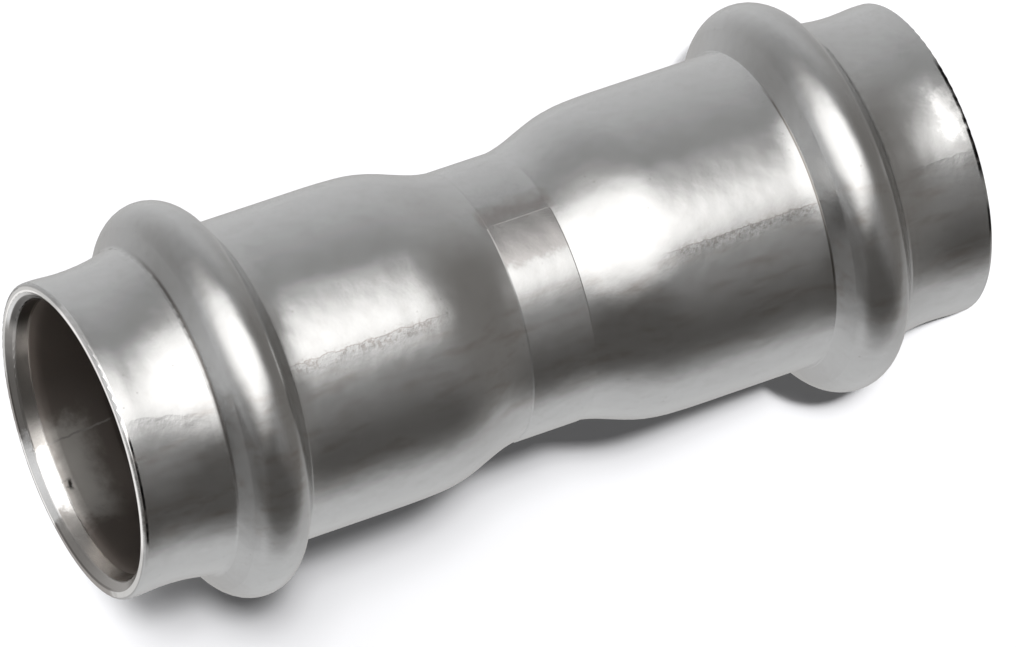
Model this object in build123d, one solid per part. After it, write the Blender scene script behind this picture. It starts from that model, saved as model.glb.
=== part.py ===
from build123d import *
import os
from math import cos, radians, tan

# Straight press coupling for two stainless steel pipes, standing on its lower mouth.
# Sizes are in millimetres. The axis is Z, z = 0 is the lower rim, and a depth is
# measured along the axis from either mouth towards the middle.

# The pipe that each socket takes
pipe_d = 15.0
pipe_clearance = 0.25

# Wall of the formed tube
wall = 1.35

# Rim of each mouth, its bevelled inner edge, and the lead-in that eases the pipe in
rim_round = 0.2
bevel_edge_round = 0.08
bevel_width = 0.75
bevel_depth = 0.33
lead_in_edge_round = 0.25
lead_in_width = 0.28
lead_in_depth = 1.45
lead_in_foot_round = 3.0

# Collar at each mouth: a softly crowned lip, then hollow outside down to the bead
collar_lip_wall = 1.25
lip_crown_depth = 0.67
lip_crown_round = 7.0
lip_fall_angle = 2.4
collar_lip_angle = 4.5
collar_hollow_depth = 3.15
collar_hollow_round = 11.5
collar_foot_angle = 12.5

# Raised bead that holds the seal ring, a V with a round crown
bead_depth = 7.62
bead_base = 4.78
bead_height = 2.125
flank_angle = 58.5
bead_crown_wall = 1.2
groove_edge_round = 1.3

# Foot of the bead: a crease on either side, and on the socket side a slight curl
collar_crease_round = 0.4
socket_crease_round = 0.08
foot_curl_length = 0.5
foot_curl_angle = 10.0
foot_curl_round = 5.0

# Seal ring, an O-ring that lies between the flanks of the bead
seal_section = 2.2
seal_pipe_gap = 0.05
seal_seat_gap = 0.06

# Shoulders and neck: each shoulder starts gently, and the neck is narrower than the
# pipe and stops it
shoulder_lead_length = 1.86
shoulder_lead_angle = 3.0
shoulder_lead_round = 35.0
shoulder_depth = 19.66
shoulder_angle = 19.8
shoulder_round = 8.0
bore_shoulder_round = 8.0
neck_round = 7.0
neck_length = 4.66
stop_step = 1.17

# Marks that the forming die leaves round the neck, one arc for each die segment
die_mark_width = 4.0
die_mark_bevel = 0.12
die_mark_heights = (0.11, 0.07, 0.05)
die_mark_first_angle = -61.4
die_joint_gap_angle = 0.8

# Radii that follow from these sizes
pipe_r = pipe_d / 2
bore_r = pipe_r + pipe_clearance
lip_r = bore_r + collar_lip_wall
socket_r = bore_r + wall
bead_r = socket_r + bead_height
neck_bore_r = pipe_r - stop_step
neck_r = neck_bore_r + wall

# The outer flanks run up to a sharp apex, which the crown arc rounds to bead_r
flank_slope = tan(radians(flank_angle))
flank_cos = cos(radians(flank_angle))
apex_r = socket_r + bead_base / 2 * flank_slope
crown_round = (apex_r - bead_r) * flank_cos / (1 - flank_cos)

# The inner flanks are parallel to the outer ones and lean against the seal ring
seal_centre_r = pipe_r + seal_pipe_gap + seal_section / 2
groove_apex_r = seal_centre_r + (seal_section / 2 + seal_seat_gap) / flank_cos
groove_r = bead_r - bead_crown_wall
groove_crown_round = (groove_apex_r - groove_r) * flank_cos / (1 - flank_cos)

# The taper between socket and neck keeps the wall, so its inner corners shift
shoulder_slope = tan(radians(shoulder_angle))
neck_depth = shoulder_depth + (socket_r - neck_r) / shoulder_slope
inner_shift = wall * tan(radians(shoulder_angle / 2))
length = 2 * neck_depth + neck_length


def flank_depth(tip_r, radius, side):
    """Depth at which a flank that ends at tip_r crosses a radius, on one side of the bead."""
    return bead_depth + side * (tip_r - radius) / flank_slope


def bead_crease(corner_r, corner_depth, angle, side):
    """Radius and depth where a wall that rises from a corner, at an angle, meets the flank."""
    rise = tan(radians(angle))
    flank_r = apex_r - side * (corner_depth - bead_depth) * flank_slope
    run = (corner_r - flank_r) / (flank_slope - rise)
    return corner_r + run * rise, corner_depth - side * run


def shoulder_corner():
    """Radius and depth where the shoulder's gentle start meets its taper."""
    lead_slope = tan(radians(shoulder_lead_angle))
    run = shoulder_lead_length * shoulder_slope / (shoulder_slope - lead_slope)
    return socket_r - run * lead_slope, shoulder_depth - shoulder_lead_length + run


def outer_stations():
    """Corners of the outer line from a mouth to the neck: radius, depth and rounding."""
    rim_r = lip_r - lip_crown_depth * tan(radians(lip_fall_angle))
    hollow_fall = (collar_hollow_depth - lip_crown_depth) * tan(radians(collar_lip_angle))
    hollow = (lip_r - hollow_fall, collar_hollow_depth)
    curl = (socket_r, flank_depth(apex_r, socket_r, 1) + foot_curl_length)
    return [
        (rim_r, 0, rim_round),
        (lip_r, lip_crown_depth, lip_crown_round),
        (*hollow, collar_hollow_round),
        (*bead_crease(*hollow, collar_foot_angle, -1), collar_crease_round),
        (apex_r, bead_depth, crown_round),
        (*bead_crease(*curl, foot_curl_angle, 1), socket_crease_round),
        (*curl, foot_curl_round),
        (socket_r, shoulder_depth - shoulder_lead_length, shoulder_lead_round),
        (*shoulder_corner(), shoulder_round),
        (neck_r, neck_depth, neck_round),
    ]


def inner_stations():
    """Corners of the inner line from a mouth to the neck: radius, depth and rounding."""
    return [
        (bore_r + bevel_width, 0, bevel_edge_round),
        (bore_r + lead_in_width, bevel_depth, lead_in_edge_round),
        (bore_r, lead_in_depth, lead_in_foot_round),
        (bore_r, flank_depth(groove_apex_r, bore_r, -1), groove_edge_round),
        (groove_apex_r, bead_depth, groove_crown_round),
        (bore_r, flank_depth(groove_apex_r, bore_r, 1), groove_edge_round),
        (bore_r, shoulder_depth - inner_shift, bore_shoulder_round),
        (neck_bore_r, neck_depth - inner_shift, neck_round + wall),
    ]


def both_ends(stations):
    """Repeat one half's corners for the other half, in order from bottom to top."""
    upper = [(radius, length - depth, rounding) for radius, depth, rounding in reversed(stations)]
    return stations + upper


def fitted_roundings(points, roundings):
    """Each corner's rounding, made smaller where the sides next to it have no room for it."""
    count = len(points)
    sides = [points[(i + 1) % count] - points[i] for i in range(count)]
    cuts = [
        roundings[i] * tan(radians(sides[i - 1].get_angle(sides[i]) / 2)) for i in range(count)
    ]
    shares = [
        min(1, 0.97 * sides[i].length / (cuts[i] + cuts[(i + 1) % count])) for i in range(count)
    ]
    return [roundings[i] * min(shares[i - 1], shares[i]) for i in range(count)]


def tube_section():
    """The wall of the formed tube, cut along the axis."""
    corners = both_ends(outer_stations()) + both_ends(inner_stations())[::-1]
    points = [Vector(radius, height) for radius, height, rounding in corners]
    roundings = fitted_roundings(points, [rounding for radius, height, rounding in corners])
    with BuildSketch(Plane.XZ) as section:
        with BuildLine():
            FilletPolyline(points, radius=roundings, close=True)
        make_face()
    return section.sketch


def die_mark(height, first_angle):
    """One die segment's mark: a low arc of wall with bevelled sides, just proud of the neck."""
    segment_angle = 360 / len(die_mark_heights) - die_joint_gap_angle
    inner_r = neck_r - wall / 2
    half_width = die_mark_width / 2
    half = [
        (inner_r, half_width),
        (neck_r, half_width),
        (neck_r + height, half_width - die_mark_bevel),
    ]
    corners = half + [(radius, -offset) for radius, offset in reversed(half)]
    section = Pos(0, length / 2) * make_face(Polyline(*corners, close=True))
    mark = revolve(Plane.XZ * section, Axis.Z, segment_angle)
    return Rot(0, 0, first_angle - segment_angle) * mark


def coupling_body():
    """The whole formed tube with the die marks on its neck, as one solid."""
    body = revolve(tube_section(), Axis.Z)
    for index, height in enumerate(die_mark_heights):
        first_angle = die_mark_first_angle - index * 360 / len(die_mark_heights)
        body += die_mark(height, first_angle)
    return body


def seal_ring(height):
    """One seal ring, lying in its bead at the given height."""
    return Pos(0, 0, height) * Torus(seal_centre_r, seal_section / 2)


parts = {
    "coupling_body": coupling_body(),
    "seal_ring_lower": seal_ring(bead_depth),
    "seal_ring_upper": seal_ring(length - bead_depth),
}

os.makedirs("parts", exist_ok=True)
for name, shape in parts.items():
    export_step(shape, f"parts/{name}.step")

print("overall length", round(length, 3), "lip", round(lip_r, 3), "bead", round(bead_r, 3))
print("bore", round(bore_r, 3), "neck bore", round(neck_bore_r, 3), "neck", round(neck_r, 3))
print("crown rounds", round(crown_round, 3), round(groove_crown_round, 3))
print("seal inner radius", round(seal_centre_r - seal_section / 2, 3))
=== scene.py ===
import math

import bpy
from mathutils import Matrix, Vector


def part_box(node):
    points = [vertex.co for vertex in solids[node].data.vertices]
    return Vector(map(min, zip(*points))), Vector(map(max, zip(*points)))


# A straight press coupling of stainless steel tube with its two seal rings, standing on a
# pale studio floor. Everything is in metres, in the frame of the solids.

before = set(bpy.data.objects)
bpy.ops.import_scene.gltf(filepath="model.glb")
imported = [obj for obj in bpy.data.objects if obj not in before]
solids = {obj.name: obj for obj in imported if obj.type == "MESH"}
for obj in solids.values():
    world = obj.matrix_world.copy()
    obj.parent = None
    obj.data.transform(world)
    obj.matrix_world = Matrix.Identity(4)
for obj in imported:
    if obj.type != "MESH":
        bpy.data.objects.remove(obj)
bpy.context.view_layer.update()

MM = 0.001
BODY_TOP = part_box("coupling_body")[1].z
BODY_MIDDLE = Vector((0, 0, BODY_TOP / 2))

# Camera: where the photograph was taken from, round the middle of the coupling
CAMERA_DISTANCE = 571.7 * MM
CAMERA_ELEVATION = math.radians(20.2)
CAMERA_TURN = math.radians(108.78)
CAMERA_RIGHT = 0.46 * MM
CAMERA_DOWN = 1.43 * MM
LENS = 369.94
SENSOR_WIDTH = 36.0
CLIP_NEAR, CLIP_FAR = 0.01, 20.0

# Steel, in mm: how wide each kind of blotch is, and how high it stands in the relief
CLOUD_WIDTH = 3.5
WAVE_WIDTH, WAVE_HEIGHT = 1.6, 0.026
MOTTLE_WIDTH, MOTTLE_HEIGHT = 0.7, 0.0045
FLECK_WIDTH, FLECK_HEIGHT = 0.3, 0.0014
STREAK_WIDTH, STREAK_STRETCH = 0.8, 4.0
PIT_SPACING = 0.9
NOISE_ROUGHNESS = 0.6
STEEL_ROUGHNESS = (0.16, 0.21)
BORE_EXTRA_ROUGHNESS = 0.25
FACET_BLUR_RADIUS = 0.9

# Sockets and collars of the tube: how far from its middle they begin and end, in mm, the
# stretches that keep clear of every crease, and how far from a rim the deep bore begins
SOCKET_SPAN, SMOOTH_SOCKET_SPAN = (7.0, 15.8), (3.1, 15.1)
COLLAR_SPAN, SMOOTH_COLLAR_SPAN = (21.6, 25.6), (22.1, 25.0)
DEEP_BORE_START = 1.15

# Weld seam: its bends, each with two heights in mm and the angles in degrees there, which
# add up; the dip below it; and the bore's own seam, in degrees and degrees per mm
SEAM_BENDS = ((20.0, 31.0, -94.2, -89.6), (44.0, 46.8, 0.0, -5.1), (46.8, 51.4, 0.0, 5.1))
SEAM_DIP_SLOPE = 0.045
SEAM_DIP_REACH = 1.4
INNER_SEAM_ANGLE = 88.6
INNER_SEAM_LEAN = 0.6

# Rubber: the grain of its skin in mm, and how much that stands out
SKIN_WIDTH, SKIN_HEIGHT = 0.15, 0.005
RUBBER_ROUGHNESS = (0.42, 0.58)
RUBBER_IOR = 1.52

# Studio: the floor, the plain light all round, and the cards that the steel reflects
FLOOR_HALF_SIDE = 6.0
CARD_DISTANCE = 0.45
CARD_SPACING = 0.004
CARD_STEP = 4.0
TENT_LEVEL = 0.73
TENT_LEVEL_ON_MATT = 0.12
TENT_LEVEL_IN_VIEW = 1.0
WARM_WHITE = (1.0, 0.982, 0.962)
WARM_GREY = (1.0, 0.955, 0.905)

# Sockets of a Mix node: its two colours and their mix, and its two vectors and theirs
COLOUR_A, COLOUR_B, MIXED_COLOUR = 6, 7, 2
VECTOR_A, VECTOR_B, MIXED_VECTOR = 4, 5, 1


def linear(hex_colour):
    """A colour written as an sRGB hex value, as linear RGBA."""
    parts = [int(hex_colour[i : i + 2], 16) / 255 for i in (1, 3, 5)]
    parts = [c / 12.92 if c <= 0.04045 else ((c + 0.055) / 1.055) ** 2.4 for c in parts]
    return (*parts, 1)


def add_node(tree, kind, settings=None, inputs=None, links=None):
    """Add a node: its own settings, its sockets' values, and what is linked into them."""
    node = tree.nodes.new(kind)
    for name, value in (settings or {}).items():
        setattr(node, name, value)
    for socket, value in (inputs or {}).items():
        node.inputs[socket].default_value = value
    for socket, source in (links or {}).items():
        tree.links.new(source, node.inputs[socket])
    return node


def new_material(name):
    """An empty material and its node tree."""
    material = bpy.data.materials.new(name)
    material.use_nodes = True
    material.node_tree.nodes.clear()
    return material, material.node_tree


def direction(azimuth, elevation):
    """Unit vector from the coupling; azimuth 0 is the photographer's side, 90 is +X."""
    a, e = math.radians(azimuth), math.radians(elevation)
    return Vector((math.sin(a) * math.cos(e), -math.cos(a) * math.cos(e), math.sin(e)))


# Materials


def steel_places(tree):
    """Where a point of the tube is and how it faces.

    Gives the point itself, its height in mm, its angle round the axis in degrees, its
    radius in mm, and how far its face looks away from the axis, from -1 in the bore to 1.
    """
    coordinates = add_node(tree, "ShaderNodeTexCoord")
    point = coordinates.outputs["Object"]
    split = add_node(tree, "ShaderNodeSeparateXYZ", links={"Vector": point})
    height = add_node(
        tree, "ShaderNodeMath", {"operation": "MULTIPLY"}, {1: 1 / MM},
        {0: split.outputs["Z"]},
    )
    turn = add_node(
        tree, "ShaderNodeMath", {"operation": "ARCTAN2"},
        links={0: split.outputs["Y"], 1: split.outputs["X"]},
    )
    angle = add_node(
        tree, "ShaderNodeMath", {"operation": "MULTIPLY"}, {1: math.degrees(1)},
        {0: turn.outputs[0]},
    )
    across = add_node(
        tree, "ShaderNodeVectorMath", {"operation": "MULTIPLY"}, {1: (1 / MM, 1 / MM, 0)},
        {0: point},
    )
    radius = add_node(
        tree, "ShaderNodeVectorMath", {"operation": "LENGTH"}, links={0: across.outputs[0]},
    )
    radial = add_node(
        tree, "ShaderNodeVectorMath", {"operation": "NORMALIZE"},
        links={0: across.outputs[0]},
    )
    facing = add_node(
        tree, "ShaderNodeVectorMath", {"operation": "DOT_PRODUCT"},
        links={0: coordinates.outputs["Normal"], 1: radial.outputs[0]},
    )
    return (
        point, height.outputs[0], angle.outputs[0], radius.outputs["Value"],
        facing.outputs["Value"],
    )


def distance_from_middle(tree, height):
    """How far a point is from the tube's middle, up or down, in mm."""
    above = add_node(
        tree, "ShaderNodeMath", {"operation": "SUBTRACT"}, {1: BODY_TOP / MM / 2},
        {0: height},
    )
    return add_node(
        tree, "ShaderNodeMath", {"operation": "ABSOLUTE"}, links={0: above.outputs[0]},
    ).outputs[0]


def marked_area(tree, spans):
    """A mask that is 1 where every value lies in its span: (value, low, high, softness)."""
    mask = None
    for value, low, high, softness in spans:
        off = add_node(
            tree, "ShaderNodeMath", {"operation": "SUBTRACT"}, {1: (low + high) / 2},
            {0: value},
        )
        away = add_node(
            tree, "ShaderNodeMath", {"operation": "ABSOLUTE"}, links={0: off.outputs[0]},
        )
        inside = add_node(
            tree, "ShaderNodeMapRange", {"interpolation_type": "SMOOTHSTEP"},
            {
                "From Min": (high - low - softness) / 2,
                "From Max": (high - low + softness) / 2,
                "To Min": 1.0, "To Max": 0.0,
            },
            {"Value": away.outputs[0]},
        ).outputs["Result"]
        if mask is None:
            mask = inside
        else:
            mask = add_node(
                tree, "ShaderNodeMath", {"operation": "MULTIPLY"},
                links={0: mask, 1: inside},
            ).outputs[0]
    return mask


def wandering(tree, value, cloud, reach):
    """A value that noise moves to and fro by up to about half the reach."""
    moved = add_node(
        tree, "ShaderNodeMath", {"operation": "MULTIPLY_ADD"},
        {1: reach, 2: -reach / 2}, {0: cloud},
    )
    return add_node(
        tree, "ShaderNodeMath", {"operation": "ADD"}, links={0: value, 1: moved.outputs[0]},
    ).outputs[0]


def distance_from_seam(tree, height, angle, radius):
    """How far a point is from the weld seam, round the tube, in mm; less than 0 is below.

    The seam wanders: it runs straight along each socket, a few degrees apart, and turns
    aside and back at the upper collar.
    """
    gap = angle
    for low, high, start, end in SEAM_BENDS:
        bend = add_node(
            tree, "ShaderNodeMapRange", {"interpolation_type": "SMOOTHSTEP"},
            {"From Min": low, "From Max": high, "To Min": start, "To Max": end},
            {"Value": height},
        )
        gap = add_node(
            tree, "ShaderNodeMath", {"operation": "SUBTRACT"},
            links={0: gap, 1: bend.outputs["Result"]},
        ).outputs[0]
    arc = add_node(
        tree, "ShaderNodeMath", {"operation": "MULTIPLY"}, links={0: gap, 1: radius},
    )
    return add_node(
        tree, "ShaderNodeMath", {"operation": "MULTIPLY"}, {1: math.radians(1)},
        {0: arc.outputs[0]},
    ).outputs[0]


def angle_from_inner_seam(tree, height, angle):
    """How far a point is from the bore's seam, in degrees. It leans a little inwards."""
    top = BODY_TOP / MM
    lean = add_node(
        tree, "ShaderNodeMath", {"operation": "MULTIPLY_ADD"},
        {1: -INNER_SEAM_LEAN, 2: INNER_SEAM_LEAN * top - INNER_SEAM_ANGLE}, {0: height},
    )
    return add_node(
        tree, "ShaderNodeMath", {"operation": "ADD"}, links={0: angle, 1: lean.outputs[0]},
    ).outputs[0]


def seam_relief(tree, seam, mask):
    """The wall dips away below the seam and rises again further down, in mm.

    It does so on the stretches of the tube where the mask is 1.
    """
    below = add_node(
        tree, "ShaderNodeMath", {"operation": "MINIMUM"}, {1: 0.0}, {0: seam},
    ).outputs[0]
    share = add_node(
        tree, "ShaderNodeMath", {"operation": "MULTIPLY"}, {1: 1 / SEAM_DIP_REACH},
        {0: below},
    )
    fade = add_node(
        tree, "ShaderNodeMath", {"operation": "EXPONENT"}, links={0: share.outputs[0]},
    )
    hollow = add_node(
        tree, "ShaderNodeMath", {"operation": "MULTIPLY"},
        links={0: below, 1: fade.outputs[0]},
    )
    slope = add_node(
        tree, "ShaderNodeMath", {"operation": "MULTIPLY"}, {1: SEAM_DIP_SLOPE}, {0: mask},
    )
    return add_node(
        tree, "ShaderNodeMath", {"operation": "MULTIPLY"},
        links={0: hollow.outputs[0], 1: slope.outputs[0]},
    ).outputs[0]


def pickled_steel():
    """Pickled stainless tube: satin and faintly wavy, with clouds, pits and a weld seam.

    The waviness frays the edges of the highlights, and soft stains run along the front.
    Dark lines are painted along the rims' outer edges, painted shade darkens the creases
    beside two beads, the bore is browner and duller than the outside and painted darker
    deeper in, and painted shade dulls a die mark on the neck. Painted highlights whiten
    parts of the upper rim and its bevel, the mouth's inside and a patch beside the lower
    rim.
    """
    material, tree = new_material("pickled_stainless_steel")
    point, height, angle, radius, facing = steel_places(tree)
    top = BODY_TOP / MM
    middle = top / 2
    from_middle = distance_from_middle(tree, height)
    stretched = add_node(
        tree, "ShaderNodeVectorMath", {"operation": "MULTIPLY"},
        {1: (1.0, 1.0, 1 / STREAK_STRETCH)}, {0: point},
    ).outputs[0]
    # Noise of five grains: the width of its blotches in mm, and its detail
    clouds, waves, mottle, flecks, streaks = (
        add_node(
            tree, "ShaderNodeTexNoise",
            inputs={
                "Scale": 1 / (width * MM), "Detail": detail, "Roughness": NOISE_ROUGHNESS,
            },
            links={"Vector": place},
        ).outputs["Fac"]
        for place, width, detail in (
            (point, CLOUD_WIDTH, 4.0), (point, WAVE_WIDTH, 1.0), (point, MOTTLE_WIDTH, 3.0),
            (point, FLECK_WIDTH, 2.0), (stretched, STREAK_WIDTH, 4.0),
        )
    )

    # Edges and seams that fray, by up to the last number in degrees or mm
    ragged_angle = wandering(tree, angle, mottle, 14.0)
    ragged_height = wandering(tree, height, mottle, 1.4)
    seam = wandering(tree, distance_from_seam(tree, height, angle, radius), mottle, 0.5)
    inner_seam = wandering(tree, angle_from_inner_seam(tree, height, angle), mottle, 2.5)

    # Spans of where a face looks: outwards, or into the bore
    outside, outer_wall = (facing, 0.2, 3.0, 0.1), (facing, 0.3, 3.0, 0.1)
    inside, bore_wall = (facing, -3.0, -0.3, 0.1), (facing, -3.0, -0.35, 0.3)

    # Grey clouds, with brownish dark stains and pits
    surface = add_node(
        tree, "ShaderNodeMix", {"data_type": "RGBA"},
        {COLOUR_A: linear("#c3c3c3"), COLOUR_B: linear("#cecfcf")}, {0: clouds},
    ).outputs[MIXED_COLOUR]
    stain = add_node(
        tree, "ShaderNodeMapRange",
        inputs={"From Min": 0.5, "From Max": 0.75, "To Min": 0.0, "To Max": 0.18},
        links={"Value": mottle},
    ).outputs["Result"]
    cells = add_node(
        tree, "ShaderNodeTexVoronoi", inputs={"Scale": 1 / (PIT_SPACING * MM)},
        links={"Vector": point},
    )
    pit = add_node(
        tree, "ShaderNodeMapRange",
        inputs={"From Min": 0.03, "From Max": 0.09, "To Min": 0.35, "To Max": 0.0},
        links={"Value": cells.outputs["Distance"]},
    ).outputs["Result"]
    bore = marked_area(tree, [bore_wall])
    # Deeper in, the bore is duller and painted darker: painted shade of the bore
    dull_shaded_deep_bore = marked_area(tree, [
        bore_wall, (height, DEEP_BORE_START, top - DEEP_BORE_START, 0.1),
    ])
    layers = [
        (stain, "#b4b1af"),
        (pit, "#8d8987"),
        (bore, "#b2afac"),
        (dull_shaded_deep_bore, "#a59d98"),
    ]

    # Marks, painted highlights and painted shade: their tone and the spans that they lie
    # in, heights and radii in mm
    marks_and_painted_light = [
        # The weld seam: a hair line with specks below it
        ("#b3b0ae", [(seam, -0.03, 0.03, 0.04), (from_middle, *SOCKET_SPAN, 1.5), outside]),
        ("#b2afad", [
            (seam, -0.55, 0.1, 0.5), (from_middle, *SOCKET_SPAN, 1.5), outside,
            (flecks, 0.56, 2.0, 0.2),
        ]),
        # Painted highlights: the upper rim is whitened on its near side, and its bevel to
        # the right of that; painted shade darkens the lead-in behind that bevel
        ("#fafafa", [
            (radius, 8.54, 9.1, 0.04), (height, top - 0.22, top + 1, 0.12),
            (angle, -140.0, -38.0, 8.0),
        ]),
        ("#fbfbfb", [
            (radius, 8.32, 8.62, 0.06), (height, top - 0.4, top + 1, 0.05),
            (angle, -18.0, 30.0, 10.0),
        ]),
        ("#5a5856", [
            (radius, 0.0, 8.3, 0.06), (height, top - 1.0, top - 0.1, 0.05),
            (angle, -22.0, 30.0, 12.0),
        ]),
        # Dark lines painted along the upper rim's outer edge, on its near side and its far
        # side
        ("#1d1c1c", [
            (height, top - 0.27, top - 0.14, 0.05), (angle, -136.0, -95.0, 4.0), outer_wall,
        ]),
        ("#3b3937", [
            (radius, 8.7, 9.5, 0.04), (height, top - 0.12, top + 1, 0.02),
            (angle, 57.0, 150.0, 6.0),
        ]),
        # Painted shade darkens the upper rim's flat on its far side, as if it were bevelled
        # wider there
        ("#8a8683", [
            (radius, 8.4, 9.5, 0.03), (height, top - 0.12, top + 1, 0.02),
            (ragged_angle, 57.0, 83.0, 9.0),
        ]),
        ("#8a8683", [
            (radius, 8.4, 9.5, 0.03), (height, top - 0.12, top + 1, 0.02),
            (ragged_angle, 113.0, 168.0, 10.0),
        ]),
        # Dark lines painted along the lower rim's outer edge
        ("#1a1919", [(height, -1.0, 0.27, 0.08), (angle, -104.0, -60.0, 7.0), outside]),
        ("#3a3837", [(height, -1.0, 0.22, 0.06), (angle, -128.0, -115.0, 5.0), outside]),
        # Long soft stains on the front of the tube
        ("#bab6b3", [(streaks, 0.62, 2.0, 0.3), (angle, -140.0, -93.0, 16.0), outside]),
        # Painted shade in the creases where the lower socket and the upper collar meet
        # their beads
        ("#77736f", [
            (height, middle - 15.98, middle - 15.88, 0.1),
            (ragged_angle, -126.0, -52.0, 12.0), outside,
        ]),
        ("#7f7b78", [
            (height, middle + 20.5, middle + 20.62, 0.14),
            (ragged_angle, -118.0, -36.0, 30.0), outside,
        ]),
        # Inside the upper mouth: a painted highlight up to the rim, a painted lighter sheen
        # deeper in, a speck and the seam
        ("#fbfbfb", [
            (height, top - 1.2, top + 1, 0.1), (ragged_angle, 89.0, 114.0, 5.0),
            (radius, 0.0, 8.72, 0.03),
        ]),
        ("#fbfbfb", [
            (height, top - 0.36, top + 1, 0.04), (ragged_angle, 82.0, 118.0, 5.0),
            (radius, 0.0, 8.72, 0.03),
        ]),
        ("#f0eeea", [
            (ragged_height, top - 3.4, top - 1.2, 1.8), (ragged_angle, 80.0, 124.0, 12.0),
            inside,
        ]),
        ("#4a4745", [
            (ragged_height, top - 1.6, top - 1.26, 0.25), (angle, 103.6, 107.8, 2.5),
            inside,
        ]),
        ("#d2cfcc", [
            (height, top - 5.0, top - 0.3, 0.5), (inner_seam, -0.4, 0.4, 0.5), inside,
        ]),
        # A painted highlight beside the lower rim
        ("#f4f4f4", [
            (ragged_height, 0.35, 1.5, 0.6), (ragged_angle, -88.0, -70.0, 6.0), outer_wall,
        ]),
        # Painted shade on the first die segment's mark at its upper end, and beside it
        ("#b8b6b5", [
            (height, middle - 1.95, middle + 1.95, 0.2), (ragged_angle, -80.0, -62.0, 4.0),
            outer_wall,
        ]),
        ("#b7b3b1", [
            (height, middle - 2.2, middle + 2.2, 0.4), (ragged_angle, -61.0, -53.0, 9.0),
            outer_wall,
        ]),
    ]
    layers += [(marked_area(tree, spans), tone) for tone, spans in marks_and_painted_light]
    for mask, tone in layers:
        surface = add_node(
            tree, "ShaderNodeMix", {"data_type": "RGBA"}, {COLOUR_B: linear(tone)},
            {0: mask, COLOUR_A: surface},
        ).outputs[MIXED_COLOUR]

    roughness = add_node(
        tree, "ShaderNodeMapRange",
        inputs={
            "From Min": 0.3, "From Max": 0.7,
            "To Min": STEEL_ROUGHNESS[0], "To Max": STEEL_ROUGHNESS[1],
        },
        links={"Value": clouds},
    )
    roughness = add_node(
        tree, "ShaderNodeMath", {"operation": "MULTIPLY_ADD"}, {1: BORE_EXTRA_ROUGHNESS},
        {0: dull_shaded_deep_bore, 2: roughness.outputs["Result"]},
    )

    # Relief in mm: the dip below the seam, the waves, and the fine grain
    seam_dips = add_node(
        tree, "ShaderNodeMath", {"operation": "ADD"},
        links={
            0: marked_area(tree, [(from_middle, *SOCKET_SPAN, 3.0), outside]),
            1: marked_area(tree, [(from_middle, *COLLAR_SPAN, 1.6), outside]),
        },
    )
    relief = seam_relief(tree, seam, seam_dips.outputs[0])
    for cloud, cloud_height in (
        (waves, WAVE_HEIGHT), (mottle, MOTTLE_HEIGHT), (flecks, FLECK_HEIGHT),
    ):
        relief = add_node(
            tree, "ShaderNodeMath", {"operation": "MULTIPLY_ADD"}, {1: cloud_height},
            {0: cloud, 2: relief},
        ).outputs[0]

    # Away from the creases the shading runs smoothly from one facet to the next
    plain = add_node(tree, "ShaderNodeNewGeometry")
    averaged = add_node(
        tree, "ShaderNodeBevel", {"samples": 4}, {"Radius": FACET_BLUR_RADIUS * MM},
    )
    creaseless = add_node(
        tree, "ShaderNodeMath", {"operation": "ADD"},
        links={
            0: marked_area(tree, [(from_middle, *SMOOTH_SOCKET_SPAN, 0.6), outside]),
            1: marked_area(tree, [(from_middle, *SMOOTH_COLLAR_SPAN, 0.6), outside]),
        },
    )
    normal = add_node(
        tree, "ShaderNodeMix", {"data_type": "VECTOR"},
        links={
            0: creaseless.outputs[0], VECTOR_A: plain.outputs["Normal"],
            VECTOR_B: averaged.outputs["Normal"],
        },
    )
    bump = add_node(
        tree, "ShaderNodeBump", inputs={"Strength": 1.0, "Distance": 1.0 * MM},
        links={"Height": relief, "Normal": normal.outputs[MIXED_VECTOR]},
    )
    shader = add_node(
        tree, "ShaderNodeBsdfPrincipled", inputs={"Metallic": 1.0},
        links={
            "Base Color": surface, "Roughness": roughness.outputs[0],
            "Normal": bump.outputs["Normal"],
        },
    )
    add_node(tree, "ShaderNodeOutputMaterial", links={"Surface": shader.outputs[0]})
    return material


def moulded_rubber():
    """EPDM rubber, moulded: matt black, slightly greasy from its lubricant."""
    material, tree = new_material("moulded_epdm_rubber")
    point = add_node(tree, "ShaderNodeTexCoord")
    skin = add_node(
        tree, "ShaderNodeTexNoise", inputs={"Scale": 1 / (SKIN_WIDTH * MM), "Detail": 3.0},
        links={"Vector": point.outputs["Object"]},
    )
    roughness = add_node(
        tree, "ShaderNodeMapRange",
        inputs={"To Min": RUBBER_ROUGHNESS[0], "To Max": RUBBER_ROUGHNESS[1]},
        links={"Value": skin.outputs["Fac"]},
    )
    bump = add_node(
        tree, "ShaderNodeBump", inputs={"Strength": 0.4, "Distance": SKIN_HEIGHT * MM},
        links={"Height": skin.outputs["Fac"]},
    )
    shader = add_node(
        tree, "ShaderNodeBsdfPrincipled",
        inputs={"Base Color": linear("#1b1b1c"), "IOR": RUBBER_IOR},
        links={"Roughness": roughness.outputs["Result"], "Normal": bump.outputs["Normal"]},
    )
    add_node(tree, "ShaderNodeOutputMaterial", links={"Surface": shader.outputs[0]})
    return material


def paint(node_name, material):
    """Give a solid its finish and leave its mesh alone."""
    slots = solids[node_name].data.materials
    slots.clear()
    slots.append(material)


steel = pickled_steel()
rubber = moulded_rubber()
paint("coupling_body", steel)
paint("seal_ring_lower", rubber)
paint("seal_ring_upper", rubber)


# Studio


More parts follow.
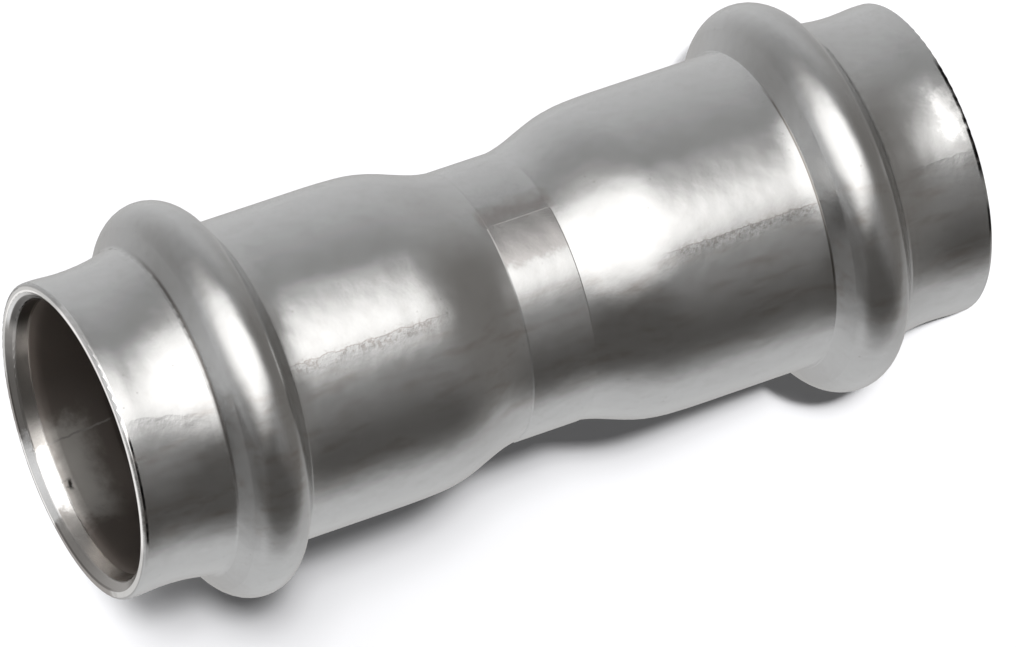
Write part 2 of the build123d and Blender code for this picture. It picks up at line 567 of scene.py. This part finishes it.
def studio_floor():
    """A wide pale floor under the lower rim. The steel sees the tent instead of it."""
    mesh = bpy.data.meshes.new("floor")
    h = FLOOR_HALF_SIDE
    mesh.from_pydata([(-h, -h, 0), (h, -h, 0), (h, h, 0), (-h, h, 0)], [], [(0, 1, 2, 3)])
    floor = bpy.data.objects.new("floor", mesh)
    bpy.context.scene.collection.objects.link(floor)
    material, tree = new_material("white_paper")
    shader = add_node(tree, "ShaderNodeBsdfDiffuse", inputs={"Color": linear("#e5e5e7")})
    add_node(tree, "ShaderNodeOutputMaterial", links={"Surface": shader.outputs[0]})
    mesh.materials.append(material)
    floor.visible_glossy = False
    floor.visible_shadow = False
    return floor


def smooth_step(t):
    """0 below 0, 1 above 1, and a smooth rise between."""
    t = min(max(t, 0.0), 1.0)
    return t * t * (3 - 2 * t)


def reflected_card(
    order, name, level, tint, azimuths, elevations, soft_sides, soft_ends,
    end_slants=(0, 0), side_slants=(0, 0),
):
    """A card bent round the coupling, between two azimuths and two elevations.

    It fades out across each edge: soft_sides and soft_ends give the widths in degrees. The
    slants are how many degrees an edge shifts for each degree along it. A card with a
    higher order hangs nearer to the coupling and hides the others. Only the steel's
    reflections show it: it gives no light and the camera doesn't see it.
    """
    centre_azimuth, centre_elevation = sum(azimuths) / 2, sum(elevations) / 2
    half_width = (azimuths[1] - azimuths[0] + max(soft_sides)) / 2
    half_height = (elevations[1] - elevations[0] + max(soft_ends)) / 2
    west = azimuths[0] - soft_sides[0] / 2 - abs(side_slants[0]) * half_height
    east = azimuths[1] + soft_sides[1] / 2 + abs(side_slants[1]) * half_height
    low = max(elevations[0] - soft_ends[0] / 2 - abs(end_slants[0]) * half_width, -90)
    high = min(elevations[1] + soft_ends[1] / 2 + abs(end_slants[1]) * half_width, 90)
    columns = math.ceil((east - west) / CARD_STEP)
    rows = math.ceil((high - low) / CARD_STEP)
    distance = CARD_DISTANCE - order * CARD_SPACING
    verts, covers, faces = [], [], []
    for j in range(rows + 1):
        e = low + (high - low) * j / rows
        rise = e - centre_elevation
        for i in range(columns + 1):
            a = west + (east - west) * i / columns
            run = a - centre_azimuth
            cover = 1.0
            for inset, softness in (
                (a - azimuths[0] - side_slants[0] * rise, soft_sides[0]),
                (azimuths[1] + side_slants[1] * rise - a, soft_sides[1]),
                (e - elevations[0] - end_slants[0] * run, soft_ends[0]),
                (elevations[1] + end_slants[1] * run - e, soft_ends[1]),
            ):
                cover *= smooth_step(inset / softness + 0.5)
            verts.append(BODY_MIDDLE + distance * direction(a, e))
            covers.append(cover)
    for j in range(rows):
        for i in range(columns):
            k = j * (columns + 1) + i
            faces.append((k, k + 1, k + columns + 2, k + columns + 1))
    mesh = bpy.data.meshes.new(name)
    mesh.from_pydata([tuple(v) for v in verts], [], faces)
    mesh.attributes.new("cover", "FLOAT", "POINT").data.foreach_set("value", covers)
    card = bpy.data.objects.new(name, mesh)
    bpy.context.scene.collection.objects.link(card)
    material, tree = new_material(name)
    cover = add_node(tree, "ShaderNodeAttribute", {"attribute_name": "cover"})
    bare = add_node(tree, "ShaderNodeBsdfTransparent")
    shine = add_node(
        tree, "ShaderNodeEmission", inputs={"Color": (*tint, 1), "Strength": level},
    )
    faded = add_node(
        tree, "ShaderNodeMixShader",
        links={0: cover.outputs["Fac"], 1: bare.outputs[0], 2: shine.outputs[0]},
    )
    add_node(tree, "ShaderNodeOutputMaterial", links={"Surface": faded.outputs[0]})
    material.cycles.emission_sampling = "NONE"
    mesh.materials.append(material)
    card.visible_camera = False
    card.visible_diffuse = False
    card.visible_transmission = False
    card.visible_shadow = False


def even_world(level, level_on_matt, level_in_view):
    """Plain light from every side: a level for gloss, for matt, and for the camera."""
    world = bpy.data.worlds.new("studio")
    world.use_nodes = True
    tree = world.node_tree
    tree.nodes.clear()
    path = add_node(tree, "ShaderNodeLightPath")
    shade = add_node(
        tree, "ShaderNodeMapRange", inputs={"To Min": level, "To Max": level_on_matt},
        links={"Value": path.outputs["Is Diffuse Ray"]},
    )
    seen = add_node(
        tree, "ShaderNodeMapRange", inputs={"To Max": level_in_view},
        links={"Value": path.outputs["Is Camera Ray"], "To Min": shade.outputs["Result"]},
    )
    background = add_node(
        tree, "ShaderNodeBackground", inputs={"Color": (1, 1, 1, 1)},
        links={"Strength": seen.outputs["Result"]},
    )
    add_node(tree, "ShaderNodeOutputWorld", links={"Surface": background.outputs[0]})
    bpy.context.scene.world = world


def distant_lamp(name, azimuth, elevation, spread, strength, lit_objects):
    """A distant lamp that lights only some objects and shows in no reflection."""
    data = bpy.data.lights.new(name, "SUN")
    data.energy = strength
    data.angle = math.radians(spread)
    lamp = bpy.data.objects.new(name, data)
    bpy.context.scene.collection.objects.link(lamp)
    lamp.rotation_mode = "QUATERNION"
    lamp.rotation_quaternion = direction(azimuth, elevation).to_track_quat("Z", "Y")
    lamp.visible_glossy = False
    lit = bpy.data.collections.new(name + "_lights")
    for lit_object in lit_objects:
        lit.objects.link(lit_object)
    lamp.light_linking.receiver_collection = lit


def photographers_camera():
    """A camera at the photograph's angle: the axis runs from lower left to upper right."""
    data = bpy.data.cameras.new("camera")
    data.lens = LENS
    data.sensor_width = SENSOR_WIDTH
    data.clip_start, data.clip_end = CLIP_NEAR, CLIP_FAR
    camera = bpy.data.objects.new("camera", data)
    bpy.context.scene.collection.objects.link(camera)
    back = direction(0, math.degrees(CAMERA_ELEVATION))
    level = Vector((1, 0, 0))
    upright = back.cross(level)
    right = level * math.cos(CAMERA_TURN) - upright * math.sin(CAMERA_TURN)
    up = level * math.sin(CAMERA_TURN) + upright * math.cos(CAMERA_TURN)
    place = BODY_MIDDLE + back * CAMERA_DISTANCE + right * CAMERA_RIGHT - up * CAMERA_DOWN
    camera.matrix_world = Matrix((
        (right.x, up.x, back.x, place.x),
        (right.y, up.y, back.y, place.y),
        (right.z, up.z, back.z, place.z),
        (0, 0, 0, 1),
    ))
    bpy.context.scene.camera = camera


# What the steel reflects, from far to near: name, level, tint, azimuths, elevations, soft
# sides, soft ends, and for the slanting ones the slants of their ends and sides
CARDS = (
    ("floor_ring", 0.22, WARM_GREY, (-180, 180), (-90, -51), (1, 1), (1, 79)),
    ("table_front", 0.23, WARM_GREY, (-104, 63), (-90, -22), (30, 67), (1, 69)),
    ("ceiling_right", 0.31, WARM_WHITE, (90, 158), (21, 69), (39, 67), (80, 47)),
    ("ceiling_left", 0.22, WARM_WHITE, (-161, -41), (45, 90), (80, 47), (28, 1)),
    ("black_flag", 0.113, WARM_GREY, (-100, -2), (-46, 68), (37, 80), (41, 80),
     (0, 0), (-0.13, 0.95)),
    ("grey_strip", 0.144, WARM_WHITE, (52, 90), (-19, 53), (5, 80), (80, 27)),
    ("softbox_glow", 1.85, WARM_WHITE, (18, 56), (4, 64), (58, 67), (45, 41)),
    ("softbox", 2.05, WARM_WHITE, (-18, 39), (-28, 52), (38, 34), (32, 70),
     (0.54, 0.74), (-0.49, -0.43)),
    ("back_dim", 0.5, WARM_WHITE, (160, 200), (-80, 50), (35, 35), (20, 30)),
    ("rim_card", 0.95, WARM_WHITE, (171, 189), (13, 28), (8, 8), (8, 8)),
)

# The shadow on the floor, from its dark edge outwards: name, azimuth, elevation, spread in
# degrees, and strength
SHADOW_LAMPS = (
    ("shadow_lamp_close", 1.4, 18.0, 0.8, 4.0),
    ("shadow_lamp_middle", 1.9, 18.2, 1.2, 3.6),
    ("shadow_lamp_wide", 2.7, 18.6, 2.2, 3.1),
    ("shadow_lamp_far", 4.4, 19.5, 4.5, 1.9),
)

floor = studio_floor()
even_world(TENT_LEVEL, TENT_LEVEL_ON_MATT, TENT_LEVEL_IN_VIEW)
for order, card in enumerate(CARDS):
    reflected_card(order, *card)
for lamp in SHADOW_LAMPS:
    distant_lamp(*lamp, [floor])
distant_lamp("rubber_lamp", 25.0, 60.0, 40.0, 2.2, solids.values())
photographers_camera()

bpy.context.scene.view_settings.view_transform = "Standard"
